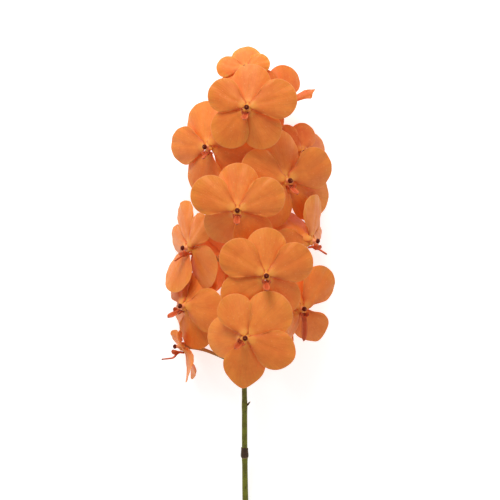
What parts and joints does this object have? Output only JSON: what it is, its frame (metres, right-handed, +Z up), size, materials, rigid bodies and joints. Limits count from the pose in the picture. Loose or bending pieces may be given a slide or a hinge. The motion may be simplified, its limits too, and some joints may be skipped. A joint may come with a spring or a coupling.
{
  "type": "vanda orchid flower spray",
  "caption": "Cut spray of orange vanda orchid blooms with small dark red lips, on curved stalks round one green stem, lying on its back.",
  "frame": {"origin": "middle of the bounding box on the surface that the spray lies on", "axes": "+Z up from the surface, out of the faces of the front blooms; +Y along the spray from the cut end of the stem to the top blooms; +X to the right of the spray as the picture shows it"},
  "size_m": [0.1268, 0.3624, 0.1027],
  "materials": {
    "tepal": "soft waxy sheen, faint veins and darker netting on orange",
    "lip": "satin, dark red with an orange edge",
    "column": "satin, pale pinkish column with a dark red-brown cap",
    "stem": "satin, olive green with brown flecks"
  },
  "bodies": {
    "root": {"bloom_01_tepals": "tepal", "bloom_01_lip": "lip", "bloom_01_column": "column", "bloom_02_tepals": "tepal", "bloom_02_lip": "lip", "bloom_02_column": "column", "bloom_03_tepals": "tepal", "bloom_03_lip": "lip", "bloom_03_column": "column", "bloom_04_tepals": "tepal", "bloom_04_lip": "lip", "bloom_04_column": "column", "bloom_05_tepals": "tepal", "bloom_05_lip": "lip", "bloom_05_column": "column", "bloom_06_tepals": "tepal", "bloom_06_lip": "lip", "bloom_06_column": "column", "bloom_07_tepals": "tepal", "bloom_07_lip": "lip", "bloom_07_column": "column", "bloom_08_tepals": "tepal", "bloom_08_lip": "lip", "bloom_08_column": "column", "bloom_09_tepals": "tepal", "bloom_09_lip": "lip", "bloom_09_column": "column", "bloom_10_tepals": "tepal", "bloom_10_lip": "lip", "bloom_10_column": "column", "bloom_11_tepals": "tepal", "bloom_11_lip": "lip", "bloom_11_column": "column", "bloom_12_tepals": "tepal", "bloom_12_lip": "lip", "bloom_12_column": "column", "bloom_13_tepals": "tepal", "bloom_13_lip": "lip", "bloom_13_column": "column", "bloom_14_tepals": "tepal", "bloom_14_lip": "lip", "bloom_14_column": "column", "bloom_15_tepals": "tepal", "bloom_15_lip": "lip", "bloom_15_column": "column", "bloom_16_tepals": "tepal", "bloom_16_lip": "lip", "bloom_16_column": "column", "bloom_17_tepals": "tepal", "bloom_17_lip": "lip", "bloom_17_column": "column", "stem": "stem"}
  },
  "joints": []
}
